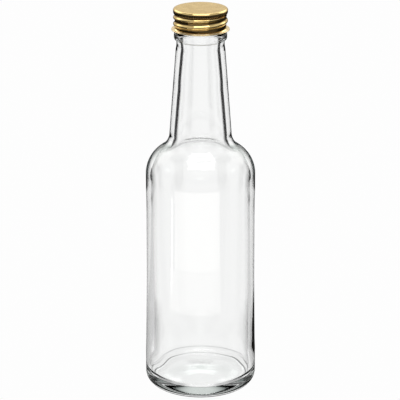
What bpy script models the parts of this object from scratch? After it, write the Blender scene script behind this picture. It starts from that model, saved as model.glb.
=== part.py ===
"""Empty clear glass liqueur bottle with a gold metal screw cap, in metres, +Z up.

The origin is the centre of the foot ring, on the surface that the bottle stands on.
Azimuths are measured from +X towards +Y, so the side that faces the viewer is at 270 degrees.
"""
import math

import bmesh
import bpy

MM = 0.001

# Heights of the glass, from the foot up
PUSH_UP_HEIGHT = 1.4 * MM
FLOOR_EDGE = 5.9 * MM
FLOOR_CENTRE = 7.6 * MM
HEEL_BAND_TOP = 17.0 * MM
PANEL_BOTTOM = 25.0 * MM
PANEL_MIDDLE = 58.0 * MM
PANEL_TOP = 98.0 * MM
SHOULDER_BAND_BOTTOM = 107.0 * MM
SHOULDER_START = 113.8 * MM
NECK_TOP = 178.0 * MM
COLLAR_BOTTOM = 180.6 * MM
BEAD_BOTTOM = 183.2 * MM
BEAD_TOP = 187.8 * MM
LIP_TOP = 198.3 * MM

# Radii of the glass's outside
PUSH_UP_RADIUS = 19.0 * MM
HEEL_BAND_RADIUS = 28.45 * MM
PANEL_BOTTOM_RADIUS = 28.2 * MM
PANEL_MIDDLE_RADIUS = 27.65 * MM
PANEL_TOP_RADIUS = 27.5 * MM
SHOULDER_RADIUS = 27.7 * MM
NECK_FOOT_RADIUS = 15.6 * MM
NECK_TOP_RADIUS = 12.4 * MM
COLLAR_RADIUS = 11.95 * MM
BEAD_RADIUS = 13.2 * MM
FINISH_RADIUS = 12.0 * MM

# Roundings of the glass's outside
HEEL_ROUNDING = 5.7 * MM
SHOULDER_ROUNDING = 15.9 * MM
NECK_FILLET = 9.7 * MM
BEAD_ROUNDING = 1.7 * MM
LIP_ROUNDING = 1.0 * MM

# The glass's inside: the wall is thick at the heel and thinnest at the shoulder
FLOOR_ROUNDING = 3.8 * MM
BODY_BORE_BOTTOM = 23.6 * MM
BODY_BORE_MIDDLE = 23.5 * MM
BODY_BORE_TOP = 25.0 * MM
BORE_WIDENS_FROM = 58.0 * MM
BORE_WIDENS_TO = 113.0 * MM
INNER_SHOULDER_START = 113.5 * MM
INNER_SHOULDER_ROUNDING = 13.4 * MM
INNER_NECK_FILLET = 10.5 * MM
NECK_BORE_FOOT = 12.15 * MM
NECK_BORE_MIDDLE = 10.15 * MM
NECK_BORE_MIDDLE_HEIGHT = 158.5 * MM
MOUTH_RADIUS = 8.8 * MM

# Cap
CAP_BOTTOM = 188.15 * MM
CAP_TOP = 199.4 * MM
CAP_TOP_THICKNESS = 0.75 * MM
CAP_BORE = 12.35 * MM
CAP_BORE_FOOT = 189.5 * MM
CAP_RADIUS = 13.5 * MM
CAP_EDGE_ROUNDING = 0.6 * MM
CAP_EDGE_BOTTOM = 198.55 * MM
KNURL_BOTTOM = 197.0 * MM
KNURL_CREST = 13.45 * MM
KNURL_VALLEY = 13.2 * MM
KNURL_CORE = 13.1 * MM
KNURL_OVERLAP = 0.1 * MM
KNURL_RIBS = 96
THREAD_ZONE_TOP = 196.4 * MM
THREAD_ZONE_BOTTOM = 189.9 * MM
THREAD_FLOOR = 12.9 * MM
THREAD_DEPTH = 0.65 * MM
THREAD_PITCH = 3.2 * MM
THREAD_WIDTH = 2.5 * MM
THREAD_ROWS = 13
THREAD_HEIGHT_AT_LEFT = 190.9 * MM
THREAD_FIRST_TURN = -0.25
THREAD_LAST_TURN = 1.5
THREAD_FADE_TURNS = 0.25
CURL_RADIUS = 0.45 * MM
CURL_CENTRE_RADIUS = 14.1 * MM

# Sides and shares of the turned outlines
BOTTLE_SIDES = 48
CAP_SIDES = 56
FLOOR_SHARES = (0.35, 0.7)
THIRDS = (0.33, 0.67, 1.0)
MERGE_DISTANCE = 0.00001

GLASS_COLOUR = (0.93, 0.97, 0.96, 1.0)
GLASS_ROUGHNESS = 0.03
GLASS_IOR = 1.5
GOLD_COLOUR = (0.74, 0.55, 0.27, 1.0)
GOLD_ROUGHNESS = 0.28


def clear_scene():
    for thing in list(bpy.data.objects):
        bpy.data.objects.remove(thing, do_unlink=True)


def new_collection(name):
    collection = bpy.data.collections.new(name)
    bpy.context.scene.collection.children.link(collection)
    return collection


def arc(centre, radius, start, end, steps):
    """Points of an arc in the (radius, height) plane, with both ends, angles in degrees."""
    points = []
    for step in range(steps + 1):
        angle = math.radians(start + (end - start) * step / steps)
        points.append((centre[0] + radius * math.cos(angle), centre[1] + radius * math.sin(angle)))
    return points


def blend(start, end, share):
    """Eased value between two sizes, flat at both ends."""
    eased = share * share * (3.0 - 2.0 * share)
    return start + (end - start) * eased


def neck_to_shoulder(neck_radius, fillet, shoulder_radius, rounding, shoulder_start, fillet_steps, round_steps):
    """The hollow fillet under the neck and the round shoulder, tangent to each other, from the top down."""
    across = (shoulder_radius - rounding) - (neck_radius + fillet)
    rise = math.sqrt((rounding + fillet) ** 2 - across ** 2)
    shoulder_centre = (shoulder_radius - rounding, shoulder_start)
    fillet_centre = (neck_radius + fillet, shoulder_start + rise)
    meeting = math.degrees(math.atan2(rise, -across))
    points = arc(fillet_centre, fillet, 180.0, 180.0 + meeting, fillet_steps)
    points += arc(shoulder_centre, rounding, meeting, 0.0, round_steps)[1:]
    return points


def bottle_inside():
    """Inner outline from the centre of the floor up to the lip."""
    corner = (BODY_BORE_BOTTOM - FLOOR_ROUNDING, FLOOR_EDGE + FLOOR_ROUNDING)
    points = [(0.0, FLOOR_CENTRE)]
    for share in FLOOR_SHARES:
        points.append((corner[0] * share, blend(FLOOR_CENTRE, FLOOR_EDGE, share)))
    points += arc(corner, FLOOR_ROUNDING, 270.0, 360.0, 5)
    points.append((BODY_BORE_MIDDLE, BORE_WIDENS_FROM))
    for share in THIRDS:
        height = BORE_WIDENS_FROM + (BORE_WIDENS_TO - BORE_WIDENS_FROM) * share
        points.append((blend(BODY_BORE_MIDDLE, BODY_BORE_TOP, share), height))
    shoulder = neck_to_shoulder(
        NECK_BORE_FOOT, INNER_NECK_FILLET, BODY_BORE_TOP, INNER_SHOULDER_ROUNDING, INNER_SHOULDER_START, 4, 5
    )
    points += reversed(shoulder)
    points.append((NECK_BORE_MIDDLE, NECK_BORE_MIDDLE_HEIGHT))
    points.append((MOUTH_RADIUS, NECK_TOP))
    points.append((MOUTH_RADIUS, LIP_TOP - LIP_ROUNDING))
    points += arc((MOUTH_RADIUS + LIP_ROUNDING, LIP_TOP - LIP_ROUNDING), LIP_ROUNDING, 180.0, 90.0, 2)[1:]
    return points


def bottle_outside():
    """Outer outline from the lip down to the centre of the push-up under the foot."""
    points = arc((FINISH_RADIUS - LIP_ROUNDING, LIP_TOP - LIP_ROUNDING), LIP_ROUNDING, 90.0, 0.0, 3)
    points.append((FINISH_RADIUS, BEAD_TOP))
    bead_edge = BEAD_RADIUS - BEAD_ROUNDING
    points += arc((bead_edge, BEAD_TOP - BEAD_ROUNDING), BEAD_ROUNDING, 72.0, 0.0, 3)
    points += arc((bead_edge, BEAD_BOTTOM + BEAD_ROUNDING), BEAD_ROUNDING, 0.0, -74.0, 4)
    points.append((COLLAR_RADIUS, BEAD_BOTTOM))
    points.append((COLLAR_RADIUS, COLLAR_BOTTOM))
    points.append((NECK_TOP_RADIUS, NECK_TOP))
    points += neck_to_shoulder(
        NECK_FOOT_RADIUS, NECK_FILLET, SHOULDER_RADIUS, SHOULDER_ROUNDING, SHOULDER_START, 5, 7
    )
    points.append((SHOULDER_RADIUS, SHOULDER_BAND_BOTTOM))
    points.append((PANEL_TOP_RADIUS, PANEL_TOP))
    points.append((PANEL_MIDDLE_RADIUS, PANEL_MIDDLE))
    points.append((PANEL_BOTTOM_RADIUS, PANEL_BOTTOM))
    points.append((HEEL_BAND_RADIUS, HEEL_BAND_TOP))
    points += arc((HEEL_BAND_RADIUS - HEEL_ROUNDING, HEEL_ROUNDING), HEEL_ROUNDING, 0.0, -90.0, 6)
    for share in (0.0, *THIRDS):
        points.append((PUSH_UP_RADIUS * (1.0 - share), blend(0.0, PUSH_UP_HEIGHT, share)))
    return points


def cap_profile():
    """Closed section of the cap's shell, from the centre of its underside out and over to the top's centre."""
    ceiling = CAP_TOP - CAP_TOP_THICKNESS
    curl_centre = (CURL_CENTRE_RADIUS, CAP_BOTTOM + CURL_RADIUS)
    inside = [(0.0, ceiling), (CAP_BORE, ceiling), (CAP_BORE, CAP_BORE_FOOT)]
    curl = arc(curl_centre, CURL_RADIUS, 215.0, 430.0, 8)
    outside = []
    for row in range(THREAD_ROWS + 1):
        height = THREAD_ZONE_BOTTOM + (THREAD_ZONE_TOP - THREAD_ZONE_BOTTOM) * row / THREAD_ROWS
        outside.append((THREAD_FLOOR, height))
    outside.append((KNURL_CORE, KNURL_BOTTOM - KNURL_OVERLAP))
    outside.append((KNURL_CORE, CAP_EDGE_BOTTOM - KNURL_OVERLAP))
    outside.append((CAP_RADIUS, CAP_EDGE_BOTTOM))
    edge_centre = (CAP_RADIUS - CAP_EDGE_ROUNDING, CAP_TOP - CAP_EDGE_ROUNDING)
    outside += arc(edge_centre, CAP_EDGE_ROUNDING, 0.0, 90.0, 4)
    outside.append((0.0, CAP_TOP))
    return inside + curl + outside


def turn(name, profile, sides, collection):
    """A profile in the XZ plane turned round Z by a Screw modifier."""
    mesh = bpy.data.meshes.new(name)
    edges = [(index, index + 1) for index in range(len(profile) - 1)]
    mesh.from_pydata([(radius, 0.0, height) for radius, height in profile], edges, [])
    turned = bpy.data.objects.new(name, mesh)
    collection.objects.link(turned)
    screw = turned.modifiers.new("turn", "SCREW")
    screw.steps = sides
    screw.render_steps = sides
    screw.use_smooth_shade = True
    screw.use_merge_vertices = True
    screw.merge_threshold = MERGE_DISTANCE
    return turned


def apply_modifiers(thing):
    """Replaces an object's mesh by its evaluated mesh."""
    graph = bpy.context.evaluated_depsgraph_get()
    shaped = bpy.data.meshes.new_from_object(thing.evaluated_get(graph))
    old = thing.data
    thing.modifiers.clear()
    thing.data = shaped
    bpy.data.meshes.remove(old)
    shaped.name = thing.name


def thread_height(radius, x, y, height):
    """How far the rolled thread stands out at a point of the cap's skirt."""
    if not THREAD_ZONE_BOTTOM < height < THREAD_ZONE_TOP:
        return 0.0
    if radius < THREAD_FLOOR - MERGE_DISTANCE:
        return 0.0
    past_left = (math.atan2(y, x) / math.tau - 0.5) % 1.0
    lift = 0.0
    for lap in (-1, 0, 1):
        turns = past_left + lap
        if not THREAD_FIRST_TURN < turns < THREAD_LAST_TURN:
            continue
        away = abs(height - THREAD_HEIGHT_AT_LEFT - THREAD_PITCH * turns) / (THREAD_WIDTH / 2.0)
        if away >= 1.0:
            continue
        ends = min(turns - THREAD_FIRST_TURN, THREAD_LAST_TURN - turns) / THREAD_FADE_TURNS
        strength = blend(0.0, 1.0, min(ends, 1.0))
        lift = max(lift, THREAD_DEPTH * strength * math.cos(away * math.pi / 2.0))
    return lift


def roll_thread(cap):
    """Pushes the skirt's outer wall out along the screw line of the thread."""
    mesh = bmesh.new()
    mesh.from_mesh(cap.data)
    for vertex in mesh.verts:
        x, y, height = vertex.co
        radius = math.hypot(x, y)
        lift = thread_height(radius, x, y, height)
        if lift > 0.0:
            vertex.co.x *= (radius + lift) / radius
            vertex.co.y *= (radius + lift) / radius
    mesh.to_mesh(cap.data)
    mesh.free()


def knurled_ring(collection):
    """A solid ring of fine upright ribs, extruded from a zigzag outline."""
    curve = bpy.data.curves.new("knurled_ring", "CURVE")
    curve.dimensions = "2D"
    curve.fill_mode = "BOTH"
    top = CAP_EDGE_BOTTOM + KNURL_OVERLAP
    curve.extrude = (top - KNURL_BOTTOM) / 2.0
    outline = curve.splines.new("POLY")
    corners = 2 * KNURL_RIBS
    outline.points.add(corners - 1)
    for corner, point in enumerate(outline.points):
        angle = math.tau * corner / corners
        radius = KNURL_CREST if corner % 2 else KNURL_VALLEY
        point.co = (radius * math.cos(angle), radius * math.sin(angle), 0.0, 1.0)
    outline.use_cyclic_u = True
    hole = curve.splines.new("POLY")
    hole.points.add(CAP_SIDES - 1)
    hole_radius = (KNURL_CORE + CAP_BORE) / 2.0
    for corner, point in enumerate(hole.points):
        angle = math.tau * corner / CAP_SIDES
        point.co = (hole_radius * math.cos(angle), hole_radius * math.sin(angle), 0.0, 1.0)
    hole.use_cyclic_u = True
    drawn = bpy.data.objects.new("ring_outline", curve)
    collection.objects.link(drawn)
    graph = bpy.context.evaluated_depsgraph_get()
    mesh = bpy.data.meshes.new_from_object(drawn.evaluated_get(graph))
    bpy.data.objects.remove(drawn)
    welded = bmesh.new()
    welded.from_mesh(mesh)
    bmesh.ops.remove_doubles(welded, verts=welded.verts, dist=MERGE_DISTANCE)
    bmesh.ops.recalc_face_normals(welded, faces=welded.faces)
    welded.to_mesh(mesh)
    welded.free()
    ring = bpy.data.objects.new("knurled_ring", mesh)
    ring.location.z = (top + KNURL_BOTTOM) / 2.0
    ring.hide_render = True
    ring.display_type = "WIRE"
    collection.objects.link(ring)
    return ring


def finish_material(name, colour, roughness, metallic, transmission=0.0, ior=GLASS_IOR):
    material = bpy.data.materials.new(name)
    material.use_nodes = True
    shader = material.node_tree.nodes["Principled BSDF"]
    shader.inputs["Base Color"].default_value = colour
    shader.inputs["Roughness"].default_value = roughness
    shader.inputs["Metallic"].default_value = metallic
    shader.inputs["Transmission Weight"].default_value = transmission
    shader.inputs["IOR"].default_value = ior
    return material


def make_bottle(collection):
    """The glass: one turned solid, open at the mouth, with a push-up under the foot."""
    bottle = turn("bottle", bottle_inside() + bottle_outside(), BOTTLE_SIDES, collection)
    glass = finish_material("clear_glass", GLASS_COLOUR, GLASS_ROUGHNESS, 0.0, transmission=1.0)
    bottle.data.materials.append(glass)
    return bottle


def make_cap(collection, tools):
    """The cap: a turned shell with a rolled thread, joined to its ring of ribs."""
    cap = turn("cap", cap_profile(), CAP_SIDES, collection)
    apply_modifiers(cap)
    roll_thread(cap)
    join = cap.modifiers.new("knurling", "BOOLEAN")
    join.operation = "UNION"
    join.solver = "EXACT"
    join.object = knurled_ring(tools)
    gold = finish_material("gold_metal", GOLD_COLOUR, GOLD_ROUGHNESS, 1.0)
    cap.data.materials.append(gold)
    return cap


def build():
    clear_scene()
    parts = new_collection("liqueur_bottle")
    tools = new_collection("tools")
    make_bottle(parts)
    make_cap(parts, tools)


build()
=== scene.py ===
# %% [markdown]
# # An empty glass bottle with a gold screw cap
#
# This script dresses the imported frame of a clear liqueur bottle. Two pieces are turned round the
# bottle's upright axis: the glass, which is one skin with an outside and an inside, and the thin metal
# cap with its ribs and rolled thread. Sizes are in metres, +Z is up, and the photographed side faces -Y.

# %% Load the frame
import math

import bpy
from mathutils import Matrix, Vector


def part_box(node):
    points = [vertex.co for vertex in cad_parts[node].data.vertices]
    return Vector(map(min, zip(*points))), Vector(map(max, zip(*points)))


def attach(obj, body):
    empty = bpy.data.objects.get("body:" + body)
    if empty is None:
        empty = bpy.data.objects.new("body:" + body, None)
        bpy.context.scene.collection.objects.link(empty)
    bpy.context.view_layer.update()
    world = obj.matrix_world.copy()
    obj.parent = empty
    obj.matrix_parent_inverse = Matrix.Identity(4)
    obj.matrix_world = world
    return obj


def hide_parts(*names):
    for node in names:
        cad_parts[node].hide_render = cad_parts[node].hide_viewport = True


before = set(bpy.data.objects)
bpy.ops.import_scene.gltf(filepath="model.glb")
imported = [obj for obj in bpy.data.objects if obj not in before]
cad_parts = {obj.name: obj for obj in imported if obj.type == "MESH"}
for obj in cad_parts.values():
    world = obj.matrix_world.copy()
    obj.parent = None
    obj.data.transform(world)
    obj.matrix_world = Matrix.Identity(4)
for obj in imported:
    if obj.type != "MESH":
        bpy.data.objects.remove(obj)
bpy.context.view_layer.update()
MM = 0.001

# %% [markdown]
# ## Drawing and turning
#
# An outline is a list of points, each a distance from the bottle's axis and a height. It is put
# together from arcs and runs, the way a turner would draw a template with compasses and a rule.

# %% Arcs and runs
def arc(centre, radius, start, end, steps):
    """Points of an arc in the (radius, height) plane, angles in degrees, both ends included."""
    angles = [math.radians(start + (end - start) * step / steps) for step in range(steps + 1)]
    return [(centre[0] + radius * math.cos(a), centre[1] + radius * math.sin(a)) for a in angles]


def eased(share):
    """A share from 0 to 1 that leaves and arrives gently."""
    return share * share * (3.0 - 2.0 * share)


def run(start, end, steps, gently=False):
    """Points at even heights between two points, without the first; gently eases the radius."""
    points = []
    for step in range(1, steps + 1):
        share = step / steps
        across = eased(share) if gently else share
        points.append((start[0] + (end[0] - start[0]) * across, start[1] + (end[1] - start[1]) * share))
    return points


def shoulder_run(neck, fillet, body, rounding, start, steps):
    """A hollow fillet under the neck and a round shoulder that meet without a kink, from the top down."""
    across = (body - rounding) - (neck + fillet)
    rise = math.sqrt((rounding + fillet) ** 2 - across ** 2)
    meeting = math.degrees(math.atan2(rise, -across))
    points = arc((neck + fillet, start + rise), fillet, 180.0, 180.0 + meeting, steps)
    return points + arc((body - rounding, start), rounding, meeting, 0.0, steps)[1:]


# %% [markdown]
# A turned piece starts as one point that is extruded along its outline and is then spun once round the
# upright axis. The last row meets the first, so doubles are merged before the faces are turned out. An
# operator works on everything that is selected, so each step starts from an empty selection.

# %% Turning an outline
MERGE_WITHIN = 0.01 * MM


def select_only(thing):
    bpy.ops.object.select_all(action="DESELECT")
    thing.select_set(True)
    bpy.context.view_layer.objects.active = thing


def turn_outline(name, outline, sides):
    """Draws an outline by extruding one point, then spins it round Z into a closed skin."""
    bpy.ops.object.select_all(action="DESELECT")
    bpy.ops.mesh.primitive_plane_add(size=MM)
    piece = bpy.context.active_object
    piece.name = name
    piece.data.name = name
    bpy.ops.object.mode_set(mode="EDIT")
    bpy.ops.mesh.select_mode(type="VERT")
    bpy.ops.mesh.select_all(action="SELECT")
    bpy.ops.mesh.merge(type="CENTER")
    radius, height = outline[0]
    bpy.ops.transform.translate(value=(radius, 0.0, height))
    for next_radius, next_height in outline[1:]:
        move = (next_radius - radius, 0.0, next_height - height)
        bpy.ops.mesh.extrude_region_move(TRANSFORM_OT_translate={"value": move})
        radius, height = next_radius, next_height
    bpy.ops.mesh.select_all(action="SELECT")
    bpy.ops.mesh.spin(steps=sides, angle=math.tau, center=(0.0, 0.0, 0.0), axis=(0.0, 0.0, 1.0))
    bpy.ops.mesh.select_all(action="SELECT")
    bpy.ops.mesh.remove_doubles(threshold=MERGE_WITHIN)
    bpy.ops.mesh.normals_make_consistent(inside=False)
    bpy.ops.object.mode_set(mode="OBJECT")
    print(name, "turned:", len(piece.data.vertices), "points,", len(piece.data.polygons), "faces")
    return piece


# %% [markdown]
# ## The glass
#
# The real bottle is blown in a mould. Its outside is true, with a label panel set in a little between
# two bands, and its inside is only where the blown glass came to rest. One outline runs up the inside,
# over the lip and down the outside, because light has to meet both walls. The two walls stay nearly
# parallel on the body: where they don't, light is trapped between them and the bottle's edge turns
# black.

# %% Outline of the inside, from the floor up
FLOOR_CENTRE = 7.6 * MM
FLOOR_EDGE = 5.9 * MM
FLOOR_ROUNDING = 3.8 * MM
BORE_BOTTOM = 25.2 * MM
BORE_MIDDLE = (24.4 * MM, 58.0 * MM)
BORE_UPPER = (24.3 * MM, 97.0 * MM)
BORE_TOP = (24.8 * MM, 113.0 * MM)
BORE_SHOULDER_START = 113.5 * MM
BORE_SHOULDER_ROUNDING = 13.4 * MM
NECK_BORE_FILLET = 10.5 * MM
NECK_BORE_FOOT = 12.15 * MM
NECK_BORE_MIDDLE = (10.15 * MM, 158.5 * MM)
MOUTH = (8.8 * MM, 178.5 * MM)
LIP_ROUNDING = 1.0 * MM
lip_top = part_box("bottle")[1].z

floor_corner = (BORE_BOTTOM - FLOOR_ROUNDING, FLOOR_EDGE + FLOOR_ROUNDING)
inside = [(0.0, FLOOR_CENTRE)]
inside += [
    (floor_corner[0] * share, FLOOR_CENTRE + (FLOOR_EDGE - FLOOR_CENTRE) * eased(share))
    for share in (0.15, 0.3, 0.45, 0.6, 0.75, 0.9)
]
inside += arc(floor_corner, FLOOR_ROUNDING, 270.0, 360.0, 12)
inside += run(inside[-1], BORE_MIDDLE, 12)
inside += run(inside[-1], BORE_UPPER, 5)
inside += run(inside[-1], BORE_TOP, 4)
bore_shoulder = shoulder_run(
    NECK_BORE_FOOT, NECK_BORE_FILLET, BORE_TOP[0], BORE_SHOULDER_ROUNDING, BORE_SHOULDER_START, 12
)
inside += reversed(bore_shoulder)
inside += run(inside[-1], NECK_BORE_MIDDLE, 4)
inside += run(inside[-1], MOUTH, 8, gently=True)
inside.append((MOUTH[0], lip_top - LIP_ROUNDING))
inside += arc((MOUTH[0] + LIP_ROUNDING, lip_top - LIP_ROUNDING), LIP_ROUNDING, 180.0, 90.0, 5)[1:]
print("inside:", len(inside), "points, floor at", round(FLOOR_CENTRE / MM, 1), "mm")

# %% Outline of the outside: lip, bead ring and collar
HAIR = 0.002 * MM  # keeps the looks a hair inside the solid's box
FINISH = 12.0 * MM
BEAD = 13.2 * MM
BEAD_SPAN = (183.2 * MM, 187.8 * MM)
BEAD_ROUNDING = 1.7 * MM
COLLAR = (11.95 * MM, 181.6 * MM)
COLLAR_ROUNDING = 0.5 * MM
COLLAR_DROP = 0.12 * MM
NECK_TOP = (12.4 * MM, 177.6 * MM)

outside = arc((FINISH - LIP_ROUNDING, lip_top - LIP_ROUNDING), LIP_ROUNDING, 90.0, 0.0, 5)
outside.append((FINISH, BEAD_SPAN[1]))
outside += arc((BEAD - BEAD_ROUNDING, BEAD_SPAN[1] - BEAD_ROUNDING), BEAD_ROUNDING, 72.0, 0.0, 10)
outside += arc((BEAD - BEAD_ROUNDING, BEAD_SPAN[0] + BEAD_ROUNDING), BEAD_ROUNDING, 0.0, -68.0, 9)
outside += arc((COLLAR[0] + COLLAR_ROUNDING, BEAD_SPAN[0] - COLLAR_DROP), COLLAR_ROUNDING, 125.0, 180.0, 4)
outside.append(COLLAR)
outside += run(outside[-1], NECK_TOP, 8, gently=True)
print("lip at", round(lip_top / MM, 1), "mm, bead", round(2.0 * BEAD / MM, 1), "mm across")

# %% Outline of the outside: neck, shoulder, label panel and foot
NECK_FOOT = 15.6 * MM
NECK_FILLET = 9.7 * MM
SHOULDER = 27.7 * MM
SHOULDER_ROUNDING = 15.9 * MM
SHOULDER_START = 113.8 * MM
SHOULDER_BAND_FOOT = 107.0 * MM
PANEL_TOP = (27.5 * MM, 98.0 * MM)
PANEL_MIDDLE = (27.65 * MM, 58.0 * MM)
PANEL_BOTTOM = (28.2 * MM, 25.0 * MM)
HEEL_BAND_TOP = 17.0 * MM
HEEL_ROUNDING = 5.7 * MM
PUSH_UP = (19.0 * MM, 1.4 * MM)
heel_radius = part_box("bottle")[1].x - HAIR

neck_and_shoulder = shoulder_run(NECK_FOOT, NECK_FILLET, SHOULDER, SHOULDER_ROUNDING, SHOULDER_START, 16)
outside += run(outside[-1], neck_and_shoulder[0], 5)[:-1]
outside += neck_and_shoulder
outside.append((SHOULDER, SHOULDER_BAND_FOOT))
outside += run(outside[-1], PANEL_TOP, 6, gently=True)
outside += run(outside[-1], PANEL_MIDDLE, 4)
outside += run(outside[-1], PANEL_BOTTOM, 3)
outside += run(outside[-1], (heel_radius, HEEL_BAND_TOP), 6, gently=True)
outside += arc((heel_radius - HEEL_ROUNDING, HEEL_ROUNDING), HEEL_ROUNDING, 0.0, -90.0, 14)
outside.append((PUSH_UP[0], 0.0))
outside += [
    (PUSH_UP[0] * (1.0 - share), PUSH_UP[1] * eased(share))
    for share in (0.12, 0.25, 0.4, 0.55, 0.7, 0.85, 1.0)
]
print("outside:", len(outside), "points, heel", round(2.0 * heel_radius / MM, 1), "mm across")

# %% Turn the glass
GLASS_SIDES = 160
glass = turn_outline("glass", inside + outside, GLASS_SIDES)
select_only(glass)
bpy.ops.object.shade_smooth()

# %% [markdown]
# The blown inside isn't quite round: here and there the wall came out thicker. A vertex group holds how
# much thicker each point of the inner wall is, and a Displace modifier pushes the point that far into
# the hollow, so the lines that light draws along the wall wander as they do on the real bottle.

# %% Pushing points out along their normals
def push_out(piece, name, share_of, depth):
    """Moves points out along their normals, each by its own share of a depth."""
    group = piece.vertex_groups.new(name=name)
    moved = 0
    for point in piece.data.vertices:
        share = share_of(point)
        if share > 0.0:
            group.add([point.index], share, "REPLACE")
            moved += 1
    push = piece.modifiers.new(name, "DISPLACE")
    push.vertex_group = name
    push.mid_level = 0.0
    push.strength = depth
    select_only(piece)
    bpy.ops.object.modifier_apply(modifier=push.name)
    print(name, "moved", moved, "points by up to", round(depth / MM, 2), "mm")


# %% Make the inner wall uneven
MOST_THICKER = 3.0 * MM
ON_THE_WALL = 0.4 * MM
FADE_IN = 8.0 * MM
# azimuth in degrees (0 right, 90 back), height, spread in degrees, spread in height, how much thicker
THICK_PLACES = [
    (206.0, 24.0 * MM, 26.0, 40.0 * MM, 0.9 * MM),
    (18.0, 25.0 * MM, 22.0, 15.0 * MM, 0.6 * MM),
    (270.0, 60.0 * MM, 50.0, 30.0 * MM, 0.25 * MM),
    (100.0, 50.0 * MM, 40.0, 26.0 * MM, 0.3 * MM),
]
wall_foot = FLOOR_EDGE + FLOOR_ROUNDING
outline_at = sorted((height, radius) for radius, height in inside)


def inner_radius(height):
    """The inner outline's radius at a height."""
    for (low, low_radius), (high, high_radius) in zip(outline_at, outline_at[1:]):
        if low <= height <= high and high > low:
            return low_radius + (high_radius - low_radius) * (height - low) / (high - low)
    return 0.0


def thicker_share(point):
    """How much thicker the wall is at a point of the inner wall, as a share of the most."""
    x, y, height = point.co
    if height < wall_foot or abs(math.hypot(x, y) - inner_radius(height)) > ON_THE_WALL:
        return 0.0
    azimuth = math.degrees(math.atan2(y, x))
    thicker = 0.0
    for place, middle, spread, tall, depth in THICK_PLACES:
        off = (azimuth - place + 180.0) % 360.0 - 180.0
        thicker += depth * math.exp(-((off / spread) ** 2) - ((height - middle) / tall) ** 2)
    return eased(min(1.0, (height - wall_foot) / FADE_IN)) * thicker / MOST_THICKER


push_out(glass, "thicker_wall", thicker_share, MOST_THICKER)

# %% [markdown]
# ## The cap
#
# The real cap is spun from thin gold-lacquered aluminium. Its skirt is rolled onto the neck, so the
# thread shows as a rounded ridge that climbs to the right, under a band of fine upright ribs, and its
# lower edge is curled outwards. The shell is turned first. The ridge and the ribs are then pushed out
# of it with Displace modifiers, each through a vertex group that holds how far every point goes, which
# keeps the metal one sheet.

# %% Outline of the cap
cap_low, cap_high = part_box("cap")
cap_top = cap_high.z - HAIR
CEILING = cap_top - 0.75 * MM
CAP_EDGE = 13.6 * MM
EDGE_ROUNDING = 0.95 * MM
RIB_SPAN = (196.9 * MM, 198.4 * MM)
RIB_FLOOR = (13.2 * MM, 13.32 * MM)
THREAD_SPAN = (189.6 * MM, 196.5 * MM)
THREAD_FLOOR = 12.75 * MM
THREAD_ROWS = 62
CAP_BORE = (12.35 * MM, THREAD_SPAN[0] - 0.4 * MM)
CURL = 0.2 * MM
CURL_CENTRE = (14.28 * MM, cap_low.z + 0.7 * MM)
FLARE = (13.25 * MM, cap_low.z + 1.15 * MM)
FLARE_ROUNDING = 0.25 * MM

cap_outline = [(0.0, CEILING), (CAP_BORE[0] * 0.5, CEILING), (CAP_BORE[0], CEILING), CAP_BORE]
cap_outline += arc(CURL_CENTRE, CURL, 215.0, 445.0, 22)
cap_outline += arc((FLARE[0] + FLARE_ROUNDING, FLARE[1]), FLARE_ROUNDING, 266.0, 180.0, 8)
cap_outline += [
    (THREAD_FLOOR, THREAD_SPAN[0] + (THREAD_SPAN[1] - THREAD_SPAN[0]) * row / THREAD_ROWS)
    for row in range(THREAD_ROWS + 1)
]
cap_outline += run(cap_outline[-1], (RIB_FLOOR[0], RIB_SPAN[0]), 4, gently=True)
cap_outline += run(cap_outline[-1], (RIB_FLOOR[1], RIB_SPAN[1]), 6)
cap_outline += arc((CAP_EDGE - EDGE_ROUNDING, cap_top - EDGE_ROUNDING), EDGE_ROUNDING, 0.0, 90.0, 8)
cap_outline += [(CAP_EDGE * share, cap_top) for share in (0.8, 0.6, 0.4, 0.2, 0.0)]
RIBS = 96
SIDES_PER_RIB = 4
cap = turn_outline("screw_cap", cap_outline, RIBS * SIDES_PER_RIB)

# %% Roll the thread
THREAD_PITCH = 3.2 * MM
THREAD_WIDTH = 3.1 * MM
THREAD_DEPTH = 0.8 * MM
THREAD_LEFT = 191.6 * MM
THREAD_TURNS = (-0.25, 1.6)
THREAD_FADE = 0.25
SKIRT_SLACK = 0.1 * MM


def thread_share(point):
    """How much of the thread's depth a point of the skirt gets: 1 on the ridge's crest."""
    x, y, height = point.co
    if not THREAD_SPAN[0] < height < THREAD_SPAN[1] or math.hypot(x, y) < THREAD_FLOOR - SKIRT_SLACK:
        return 0.0
    past_left = (math.atan2(y, x) / math.tau - 0.5) % 1.0
    share = 0.0
    for lap in (-1, 0, 1):
        turns = past_left + lap
        if not THREAD_TURNS[0] < turns < THREAD_TURNS[1]:
            continue
        away = abs(height - THREAD_LEFT - THREAD_PITCH * turns) / (THREAD_WIDTH / 2.0)
        if away < 1.0:
            ends = min(turns - THREAD_TURNS[0], THREAD_TURNS[1] - turns) / THREAD_FADE
            share = max(share, eased(min(1.0, ends)) * (0.5 + 0.5 * math.cos(away * math.pi)))
    return share


push_out(cap, "thread", thread_share, THREAD_DEPTH)

# %% Press the ribs
RIB_DEPTH = 0.28 * MM
RIB_RUN_OUT = 0.35 * MM
RIB_END_SHARE = 0.35
RIB_SLACK = 0.01 * MM
OUTSIDE_THE_BORE = 0.2 * MM
SHARP_EDGE = math.radians(50.0)


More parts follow.
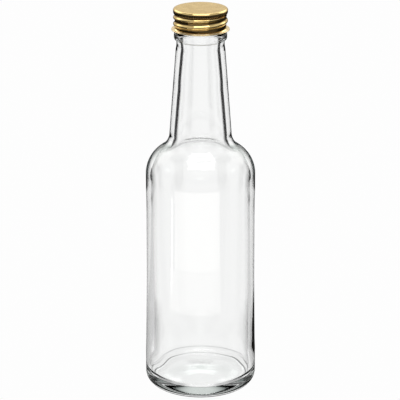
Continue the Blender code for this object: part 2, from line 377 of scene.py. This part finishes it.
def rib_share(point):
    """How much of the ribs' depth a point of the band gets: 1 on a rib's crest."""
    x, y, height = point.co
    in_band = RIB_SPAN[0] - RIB_SLACK < height < RIB_SPAN[1] + RIB_SLACK
    if not in_band or math.hypot(x, y) < CAP_BORE[0] + OUTSIDE_THE_BORE:
        return 0.0
    from_end = min(height - RIB_SPAN[0], RIB_SPAN[1] - height) / RIB_RUN_OUT
    wave = 0.5 + 0.5 * math.cos(RIBS * math.atan2(y, x))
    return wave * (RIB_END_SHARE + (1.0 - RIB_END_SHARE) * eased(min(1.0, max(0.0, from_end))))


push_out(cap, "ribs", rib_share, RIB_DEPTH)
select_only(cap)
bpy.ops.object.shade_smooth_by_angle(angle=SHARP_EDGE)

# %% [markdown]
# ## Finishes
#
# Materials are built from nodes. A few helpers keep that readable. Most of them add one node and return
# its output, and wherever feed sets a socket, the value may be another node's output or a plain number.
# The materials read Object coordinates, so a finish is fixed to its piece from every side.

# %% Helpers for node trees
def node_material(name):
    """A new material, its node tree and its Principled shader."""
    material = bpy.data.materials.new(name)
    material.use_nodes = True
    return material, material.node_tree, material.node_tree.nodes["Principled BSDF"]


def feed(tree, socket, value):
    """Links a socket to a node's output, or sets it to a number or a colour."""
    if isinstance(value, bpy.types.NodeSocket):
        tree.links.new(value, socket)
    else:
        socket.default_value = value


def maths(tree, operation, first, second=0.0):
    node = tree.nodes.new("ShaderNodeMath")
    node.operation = operation
    feed(tree, node.inputs[0], first)
    feed(tree, node.inputs[1], second)
    return node.outputs[0]


def product(tree, first, second):
    return maths(tree, "MULTIPLY", first, second)


def total(tree, first, second):
    return maths(tree, "ADD", first, second)


def one_minus(tree, value):
    return maths(tree, "SUBTRACT", 1.0, value)


def mapped(tree, value, span, results, smooth=True):
    """Runs from one result to the other while a value crosses a span, and stays level beyond it."""
    node = tree.nodes.new("ShaderNodeMapRange")
    node.interpolation_type = "SMOOTHSTEP" if smooth else "LINEAR"
    node.inputs["From Min"].default_value, node.inputs["From Max"].default_value = span
    node.inputs["To Min"].default_value, node.inputs["To Max"].default_value = results
    tree.links.new(value, node.inputs["Value"])
    return node.outputs["Result"]


def rise(tree, value, start, end):
    """From 0 at start to 1 at end."""
    return mapped(tree, value, (start, end), (0.0, 1.0))


def fall(tree, value, start, end):
    """From 1 at start to 0 at end."""
    return mapped(tree, value, (start, end), (1.0, 0.0))


def patch(tree, value, span, edge):
    """1 between two values and 0 outside them, with soft edges."""
    after_start = rise(tree, value, span[0] - edge, span[0] + edge)
    before_end = fall(tree, value, span[1] - edge, span[1] + edge)
    return product(tree, after_start, before_end)


# %% Helpers for colours and places
def ramp(tree, value, stops):
    """A colour that runs through (place, colour) stops."""
    node = tree.nodes.new("ShaderNodeValToRGB")
    elements = node.color_ramp.elements
    while len(elements) < len(stops):
        elements.new(0.5)
    for element, (place, colour) in zip(elements, stops):
        element.position = place
        element.color = (*colour, 1.0)
    tree.links.new(value, node.inputs["Fac"])
    return node.outputs["Color"]


def mixed(tree, share, first, second, blend="MIX"):
    """The first colour, turned to the second by a share."""
    node = tree.nodes.new("ShaderNodeMix")
    node.data_type = "RGBA"
    node.blend_type = blend
    for socket, value in (("Factor", share), ("A", first), ("B", second)):
        feed(tree, node.inputs[socket], value)
    return node.outputs["Result"]


def noise(tree, place, scale, detail):
    node = tree.nodes.new("ShaderNodeTexNoise")
    node.inputs["Scale"].default_value = scale
    node.inputs["Detail"].default_value = detail
    tree.links.new(place, node.inputs["Vector"])
    return node.outputs["Fac"]


def coordinates(tree, kind="Object"):
    """One of Texture Coordinate's outputs, whole and as X, Y and Z."""
    place = tree.nodes.new("ShaderNodeTexCoord").outputs[kind]
    node = tree.nodes.new("ShaderNodeSeparateXYZ")
    tree.links.new(place, node.inputs["Vector"])
    return place, node.outputs["X"], node.outputs["Y"], node.outputs["Z"]


def from_axis(tree, x, y):
    """Distance from the upright axis."""
    return maths(tree, "SQRT", total(tree, product(tree, x, x), product(tree, y, y)))


def from_front(tree, x, y):
    """Degrees away from the front: -90 is left, 90 is right."""
    return product(tree, maths(tree, "ARCTAN2", x, product(tree, y, -1.0)), 180.0 / math.pi)


# %% [markdown]
# Clear glass has no colour of its own to paint. What the eye reads is where light bends away: at the
# outline and where the sight line grazes the inner wall. Layer Weight's Facing output nears 1 there,
# and a ramp paints a dark edge into the glass's colour there, as painted shade. Round the shoulder and
# up the neck the dark edge is wider, and on the label panel it is narrower.

# %% The glass's two walls
CLEAR = (0.985, 0.988, 0.986)
PAINTED_EDGE_SHADE = (0.01, 0.013, 0.013)
SHOULDER_EDGE = (106.0 * MM, 116.0 * MM)
NECK_EDGE = (128.0 * MM, 138.0 * MM)
NECK_EDGE_SHARE = 0.6
PANEL_EDGE_FOOT = (40.0 * MM, 52.0 * MM)
PANEL_EDGE_TOP = (97.0 * MM, 105.0 * MM)
INNER_FACE = 1.2 * MM


def wall_glass(name, dark_from, dark_full, wider, narrower):
    """Clear glass whose colour is painted dark where the sight line grazes it: painted shade."""
    material, tree, shader = node_material(name)
    shader.inputs["Transmission Weight"].default_value = 1.0
    shader.inputs["IOR"].default_value = 1.5
    shader.inputs["Roughness"].default_value = 0.0
    _, _, _, height = coordinates(tree)
    weight = tree.nodes.new("ShaderNodeLayerWeight")
    weight.inputs["Blend"].default_value = 0.5
    over_panel = mapped(tree, height, PANEL_EDGE_FOOT, (0.0, narrower))
    narrowing = product(tree, over_panel, fall(tree, height, *PANEL_EDGE_TOP))
    grazing = maths(tree, "SUBTRACT", weight.outputs["Facing"], narrowing)
    over_shoulder = mapped(tree, height, SHOULDER_EDGE, (0.0, wider))
    widening = product(tree, over_shoulder, mapped(tree, height, NECK_EDGE, (1.0, NECK_EDGE_SHARE)))
    edge = total(tree, grazing, widening)
    # painted shade: the ramp darkens the glass's colour where the sight line grazes it
    colour = ramp(tree, edge, [(0.0, CLEAR), (dark_from, CLEAR), (dark_full, PAINTED_EDGE_SHADE)])
    tree.links.new(colour, shader.inputs["Base Color"])
    return material


outer_glass = wall_glass("clear_glass_outside", dark_from=0.84, dark_full=0.99, wider=0.26, narrower=0.08)
inner_glass = wall_glass("clear_glass_inside", dark_from=0.6, dark_full=0.95, wider=0.0, narrower=0.3)
glass.data.materials.append(outer_glass)
glass.data.materials.append(inner_glass)
for face in glass.data.polygons:
    middle = face.center
    if abs(math.hypot(middle.x, middle.y) - inner_radius(middle.z)) < INNER_FACE:
        face.material_index = 1
print("glass faces on the inner wall:", sum(face.material_index for face in glass.data.polygons))

# %% [markdown]
# The cap's metal is a Principled shader with full Metallic, a golden colour, a warm Specular Tint and a
# thin clear Coat for the lacquer. A soft noise mottles the colour and the gloss. The grooves of the
# thread and between the ribs hold shade, so a node that measures the distance from the axis paints the
# metal's colour darker where it lies deepest: painted shade. The metal's colour is made palest on the
# brim.

# %% Gold lacquered metal
GOLD = [(0.3, (0.6, 0.43, 0.17)), (0.7, (0.74, 0.56, 0.25))]
PAINTED_GROOVE_SHADE = (0.1, 0.05, 0.01, 1.0)
BRIM_GOLD = (0.8, 0.68, 0.46, 1.0)
GLOSS = (0.1, 0.16)
MOTTLE = {"scale": 260.0, "detail": 5.0}
LACQUER_GRAIN = {"scale": 1400.0, "detail": 3.0}
GROOVE_REACH = (THREAD_FLOOR + 0.05 * MM, THREAD_FLOOR + 0.4 * MM)
GROOVE_GOLD_LEFT = 0.22
RIB_REACH = (RIB_FLOOR[0] + 0.2 * MM, RIB_FLOOR[1] + 0.26 * MM)
BRIM_REACH = (FLARE[1] - 0.05 * MM, FLARE[1] + 0.25 * MM)

gold, tree, shader = node_material("gold_lacquer")
shader.inputs["Metallic"].default_value = 1.0
shader.inputs["Specular Tint"].default_value = (1.0, 0.88, 0.68, 1.0)
shader.inputs["Coat Weight"].default_value = 0.3
shader.inputs["Coat Roughness"].default_value = 0.06
place, x, y, height = coordinates(tree)
away = from_axis(tree, x, y)
mottle = noise(tree, place, **MOTTLE)
thread_gold = mapped(tree, away, GROOVE_REACH, (GROOVE_GOLD_LEFT, 1.0), smooth=False)
rib_gold = mapped(tree, away, RIB_REACH, (0.0, 1.0), smooth=False)
rib_gold = maths(tree, "MAXIMUM", rib_gold, maths(tree, "LESS_THAN", height, RIB_SPAN[0]))
over_ribs = maths(tree, "GREATER_THAN", height, RIB_SPAN[1])
under_thread = maths(tree, "LESS_THAN", height, THREAD_SPAN[0])
smooth_metal = maths(tree, "MAXIMUM", over_ribs, under_thread)
gold_left = maths(tree, "MAXIMUM", maths(tree, "MINIMUM", thread_gold, rib_gold), smooth_metal)
# painted shade: the colour turns dark brown deep in the thread's grooves and between the ribs
shaded = mixed(tree, gold_left, PAINTED_GROOVE_SHADE, ramp(tree, mottle, GOLD))
# the colour is made paler on the brim
on_brim = mapped(tree, height, BRIM_REACH, (1.0, 0.0), smooth=False)
tree.links.new(mixed(tree, on_brim, shaded, BRIM_GOLD), shader.inputs["Base Color"])
tree.links.new(mapped(tree, mottle, (0.0, 1.0), GLOSS, smooth=False), shader.inputs["Roughness"])
orange_peel = tree.nodes.new("ShaderNodeBump")
orange_peel.inputs["Strength"].default_value = 0.08
orange_peel.inputs["Distance"].default_value = 0.05 * MM
tree.links.new(noise(tree, place, **LACQUER_GRAIN), orange_peel.inputs["Height"])
tree.links.new(orange_peel.outputs["Normal"], shader.inputs["Normal"])
cap.data.materials.append(gold)
print("gold:", len(tree.nodes), "nodes")

# %% [markdown]
# Each new piece is put on a body of the frame, and the frame's own solid that it stands for is hidden.
# The cap only screws on and has no joint of its own, so both pieces ride on the same body.

# %% Put the pieces on the frame
for piece, node, slot in ((glass, "bottle", "clear_glass"), (cap, "cap", "gold_metal")):
    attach(piece, "root")
    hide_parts(node)
    print(piece.name, "stands for", node)

# %% [markdown]
# ## The studio
#
# Glass shows what is round it. The photographed bottle stands on a white table in a darker room:
# looking through it shows white, and what it mirrors is mostly dark, with a few soft lights. Setting up
# real lights and cards would take many renders, so world and table are painted instead, once for each
# kind of ray. Light Path tells them apart.

# %% Choosing by kind of ray
def over_half(tree, value):
    return maths(tree, "GREATER_THAN", value, 0.5)


def either(tree, share, first, second):
    """The first shader, or the second where the share is 1."""
    mix = tree.nodes.new("ShaderNodeMixShader")
    for socket, value in zip(mix.inputs, (share, first, second)):
        tree.links.new(value, socket)
    return mix.outputs["Shader"]


def shown_by(tree, seen, through, off_the_outside, from_within):
    """Chooses by ray: straight to the eye, through glass, mirrored outside or mirrored in the glass."""
    path = tree.nodes.new("ShaderNodeLightPath")
    in_glass = over_half(tree, path.outputs["Transmission Depth"])
    mirrored = over_half(tree, path.outputs["Glossy Depth"])
    straight = either(tree, in_glass, seen, through)
    return either(tree, mirrored, straight, either(tree, in_glass, off_the_outside, from_within))


def glow(tree, colour, strength=1.0):
    """An emission whose colour and strength are each a value or a node's output."""
    shader = tree.nodes.new("ShaderNodeEmission")
    feed(tree, shader.inputs["Color"], colour)
    feed(tree, shader.inputs["Strength"], strength)
    return shader.outputs["Emission"]


# %% Paper white and the dark screens
PAPER_WHITE = (0.985, 0.985, 0.985)
SCREEN_SPAN = (42.0, 68.0)
SCREEN_EDGE = 3.0


def screens(tree, degrees):
    """1 on the dark upright screens that stand to either side of the front and the back."""
    return patch(tree, maths(tree, "PINGPONG", degrees, 90.0), SCREEN_SPAN, SCREEN_EDGE)


# %% [markdown]
# The world is the room. It is dark low down and lighter at eye height, with a window-shaped softbox in
# the ceiling that draws the white patch on the shoulder and the bright lines on the cap. The softbox is
# drawn on a level ceiling one unit up, so a direction's X and Y are divided by its Z.

# %% The walls that the outside of the glass and the cap mirror
ROOM_GREYS = [
    (0.0, (0.02, 0.02, 0.02)),
    (0.12, (0.05, 0.05, 0.05)),
    (0.28, (0.16, 0.16, 0.16)),
    (0.48, (0.42, 0.42, 0.41)),
    (0.7, (0.62, 0.62, 0.6)),
    (0.9, (0.3, 0.3, 0.29)),
    (1.0, (0.15, 0.15, 0.15)),
]
world = bpy.data.worlds.new("studio")
bpy.context.scene.world = world
world.use_nodes = True
tree = world.node_tree
tree.nodes.remove(tree.nodes["Background"])
_, x, y, height = coordinates(tree, "Generated")
degrees = from_front(tree, x, y)
room_greys = ramp(tree, height, ROOM_GREYS)
print("room:", len(ROOM_GREYS), "greys from the table up")

# %% The softbox and the light wall behind the bottle
SOFTBOX_SPAN = (-0.68, 1.05)
SOFTBOX_HALF_WIDTH = 0.345
SOFTBOX_NARROWS = 0.284
SOFTBOX_MIDDLE = 0.03
SOFTBOX_SIDE_EDGE = 0.02
SOFTBOX_END_EDGE = 0.03
LOWEST_RISE = 0.05
FRONT_GLOW = 1.7
SOFTBOX_GLOW = 9.0
SOFTBOX_GLOW_FROM_BEHIND = 3.0
REAR_GREY = (0.84, 0.84, 0.81, 1.0)
REAR_SPAN = (0.5, 0.9)
REAR_PANEL_SPAN = (0.34, 0.72)
REAR_PANEL_GLOW = 1.8
BEHIND_FROM = (95.0, 120.0)

ceiling_rise = maths(tree, "MAXIMUM", height, LOWEST_RISE)
across = maths(tree, "DIVIDE", x, ceiling_rise)
back = maths(tree, "DIVIDE", y, ceiling_rise)
half_width = maths(tree, "SUBTRACT", SOFTBOX_HALF_WIDTH, product(tree, back, SOFTBOX_NARROWS))
off_middle = maths(tree, "ABSOLUTE", maths(tree, "SUBTRACT", across, SOFTBOX_MIDDLE))
from_side = maths(tree, "SUBTRACT", half_width, off_middle)
inside_width = rise(tree, from_side, -SOFTBOX_SIDE_EDGE, SOFTBOX_SIDE_EDGE)
softbox = product(tree, inside_width, patch(tree, back, SOFTBOX_SPAN, SOFTBOX_END_EDGE))
front_strength = total(tree, FRONT_GLOW, product(tree, softbox, SOFTBOX_GLOW))
rear_panel = product(tree, patch(tree, height, REAR_PANEL_SPAN, SOFTBOX_END_EDGE), REAR_PANEL_GLOW)
rear_lights = total(tree, product(tree, softbox, SOFTBOX_GLOW_FROM_BEHIND), rear_panel)
rear_strength = total(tree, fall(tree, height, *REAR_SPAN), rear_lights)
room_mirrored = either(
    tree,
    rise(tree, maths(tree, "ABSOLUTE", degrees), *BEHIND_FROM),
    glow(tree, room_greys, front_strength),
    glow(tree, REAR_GREY, rear_strength),
)
print("softbox:", SOFTBOX_GLOW, "times as bright as the wall")

# %% [markdown]
# Light that is mirrored inside the wall of the glass sees another room: white near the table, dark
# above, with dark upright screens that draw the lines along the neck and body. Light that goes straight
# through sees paper white low down and grey overhead.

# %% The room as seen through and within the glass
WITHIN_GREYS = [
    (0.0, (1.0, 1.0, 1.0)),
    (0.12, (0.88, 0.92, 0.9)),
    (0.35, (0.12, 0.14, 0.135)),
    (1.0, (0.04, 0.05, 0.05)),
]
BEYOND_GREYS = [
    (0.0, PAPER_WHITE),
    (0.3, PAPER_WHITE),
    (0.6, (0.35, 0.37, 0.36)),
    (1.0, (0.2, 0.22, 0.21)),
]
WITHIN_LIGHT = (0.66, 0.7, 0.68, 1.0)
WITHIN_LIGHT_SPAN = (8.0, 45.0)
WITHIN_PANEL_SIDES = (6.0, 9.0)
WITHIN_PANEL_SPAN = (0.38, 0.52)
WITHIN_PANEL_EDGE = 0.02
WITHIN_PANEL_GLOW = 2.0

off_quarter = maths(tree, "PINGPONG", degrees, 45.0)  # degrees from the nearest quarter turn
near_quarter = fall(tree, off_quarter, *WITHIN_LIGHT_SPAN)
within = mixed(tree, near_quarter, ramp(tree, height, WITHIN_GREYS), WITHIN_LIGHT, "LIGHTEN")
panel_sides = fall(tree, off_quarter, *WITHIN_PANEL_SIDES)
panel = product(tree, panel_sides, patch(tree, height, WITHIN_PANEL_SPAN, WITHIN_PANEL_EDGE))
within_strength = total(tree, 1.0, product(tree, panel, WITHIN_PANEL_GLOW))
within_strength = product(tree, one_minus(tree, screens(tree, degrees)), within_strength)
world_light = shown_by(
    tree,
    glow(tree, (*PAPER_WHITE, 1.0)),
    glow(tree, ramp(tree, height, BEYOND_GREYS)),
    room_mirrored,
    glow(tree, within, within_strength),
)
tree.links.new(world_light, tree.nodes["World Output"].inputs["Surface"])
print("world:", len(tree.nodes), "nodes")

# %% [markdown]
# The floor is a plain white table that glows by itself, so no shadow falls on it and it meets the
# background without a line. White cards that lie in front of the bottle are painted on it for the rays
# that the outside mirrors: they make the tall pale rectangle on the body. Rings round the foot and
# shades beside and behind the heel stand for the contact shadow that the thick glass gathers.

# %% Cards on the table
FLOOR_SIZE = 12.0
FLOOR_DROP = 0.2 * MM
# degrees from the front, their soft edge, distance from the axis, its soft edge, brightness
CARDS = [
    ((-53.0, 39.0), 2.0, (0.209, 0.378), 0.008, 1.9),
    ((-61.5, -58.5), 0.8, (0.19, 0.33), 0.03, 5.0),
    ((-62.0, 40.0), 4.0, (0.152, 0.207), 0.003, 1.2),
]
# degrees from the front, their soft edge, distance over which it rises, brightness
SIDE_LIGHT = ((-15.0, 75.0), 20.0, (0.48, 0.6), 0.2)
TABLE_MIRRORED = 0.03

bpy.ops.object.select_all(action="DESELECT")
bpy.ops.mesh.primitive_plane_add(size=FLOOR_SIZE, location=(0.0, 0.0, -FLOOR_DROP))
floor = bpy.context.active_object
floor.name = "floor"
table_top, tree, shader = node_material("white_table")
tree.nodes.remove(shader)
_, x, y, _ = coordinates(tree)
degrees = from_front(tree, x, y)
away = from_axis(tree, x, y)
cards = TABLE_MIRRORED
for sides, side_edge, reach, reach_edge, brightness in CARDS:
    card = product(tree, patch(tree, degrees, sides, side_edge), patch(tree, away, reach, reach_edge))
    cards = total(tree, product(tree, card, brightness), cards)
sides, side_edge, reach, brightness = SIDE_LIGHT
side_light = product(tree, patch(tree, degrees, sides, side_edge), rise(tree, away, *reach))
cards = total(tree, product(tree, side_light, brightness), cards)
print("table:", len(CARDS), "cards")

# %% Shades round the foot
SCREEN_NEAR = 0.25
SCREEN_FAR_FROM = (0.24, 0.32)
# degrees to either side of the front, their soft edge, distance from the axis, its soft edge, depth
BESIDE_HEEL = ((20.0, 70.0), 8.0, (0.0, 0.034), 0.004, 0.4)
# degrees over which it rises, distance from the axis, its soft edge, depth
BEHIND_HEEL = ((135.0, 155.0), (0.03, 0.085), 0.006, 0.85)
# distance from the axis, its soft edge, depth
OUTER_RING = ((0.037, 0.0395), 0.001, 0.55)
INNER_RING = ((0.0262, 0.0278), 0.0004, 0.9)
RING_FADES = (135.0, 165.0)
RING_BEHIND = 0.5

off_front = maths(tree, "ABSOLUTE", degrees)
screen_depth = mapped(tree, away, SCREEN_FAR_FROM, (SCREEN_NEAR, 1.0))
unscreened = one_minus(tree, product(tree, screens(tree, degrees), screen_depth))
sides, side_edge, reach, reach_edge, depth = BESIDE_HEEL
beside = product(tree, patch(tree, off_front, sides, side_edge), patch(tree, away, reach, reach_edge))
heel_shade = product(tree, beside, depth)
sides, reach, reach_edge, depth = BEHIND_HEEL
behind = product(tree, rise(tree, off_front, *sides), patch(tree, away, reach, reach_edge))
heel_shade = total(tree, heel_shade, product(tree, behind, depth))
within_strength = product(tree, unscreened, one_minus(tree, heel_shade))
rings = 0.0
for reach, reach_edge, depth in (OUTER_RING, INNER_RING):
    rings = total(tree, product(tree, patch(tree, away, reach, reach_edge), depth), rings)
ring_shade = product(tree, rings, mapped(tree, off_front, RING_FADES, (1.0, RING_BEHIND)))
print("rings begin", [round(ring[0][0] / MM, 1) for ring in (INNER_RING, OUTER_RING)], "mm from the axis")

# %% Lay the table
CARD_WHITE = (1.0, 0.97, 0.93, 1.0)
floor_light = shown_by(
    tree,
    glow(tree, (*PAPER_WHITE, 1.0)),
    glow(tree, (*PAPER_WHITE, 1.0), one_minus(tree, ring_shade)),
    glow(tree, CARD_WHITE, cards),
    glow(tree, (*PAPER_WHITE, 1.0), within_strength),
)
tree.links.new(floor_light, tree.nodes["Material Output"].inputs["Surface"])
floor.data.materials.append(table_top)
print("table:", FLOOR_SIZE, "m wide,", len(tree.nodes), "nodes")

# %% [markdown]
# One soft light hangs over the bottle. It shows neither to the camera nor in mirror images, which
# already have the painted softbox, and only adds a little even light.

# %% Light
LAMP_PLACE = Vector((0.0, -0.02, 0.85))
LAMP_TARGET = Vector((0.0, 0.0, 0.1))
LAMP_SIZE = (0.43, 0.62)
LAMP_POWER = 6.0
lamp = bpy.data.lights.new("overhead_box", "AREA")
lamp.shape = "RECTANGLE"
lamp.size, lamp.size_y = LAMP_SIZE
lamp.energy = LAMP_POWER
overhead = bpy.data.objects.new("overhead_box", lamp)
overhead.location = LAMP_PLACE
overhead.rotation_euler = (LAMP_TARGET - LAMP_PLACE).to_track_quat("-Z", "Y").to_euler()
overhead.visible_camera = False
overhead.visible_glossy = False
bpy.context.scene.collection.objects.link(overhead)
print("lamp:", LAMP_POWER, "W")

# %% [markdown]
# The camera was fitted to the outline in the photo: it stands about a metre in front of the bottle,
# looks down a little, and has a long lens. The Standard view keeps the white of the table white.

# %% Camera
PHOTO_SIDE = 400
FOCAL_IN_PIXELS = 1995.5
SENSOR = 36.0
EYE = (-0.00026, -0.959, 0.4348)
TILT = 19.29
camera_data = bpy.data.cameras.new("camera")
camera_data.sensor_width = SENSOR
camera_data.lens = FOCAL_IN_PIXELS * SENSOR / PHOTO_SIDE
camera = bpy.data.objects.new("camera", camera_data)
camera.location = EYE
camera.rotation_euler = (math.radians(90.0 - TILT), 0.0, 0.0)
bpy.context.scene.collection.objects.link(camera)
bpy.context.scene.camera = camera
bpy.context.scene.view_settings.view_transform = "Standard"
print("lens:", round(camera_data.lens, 1), "mm")
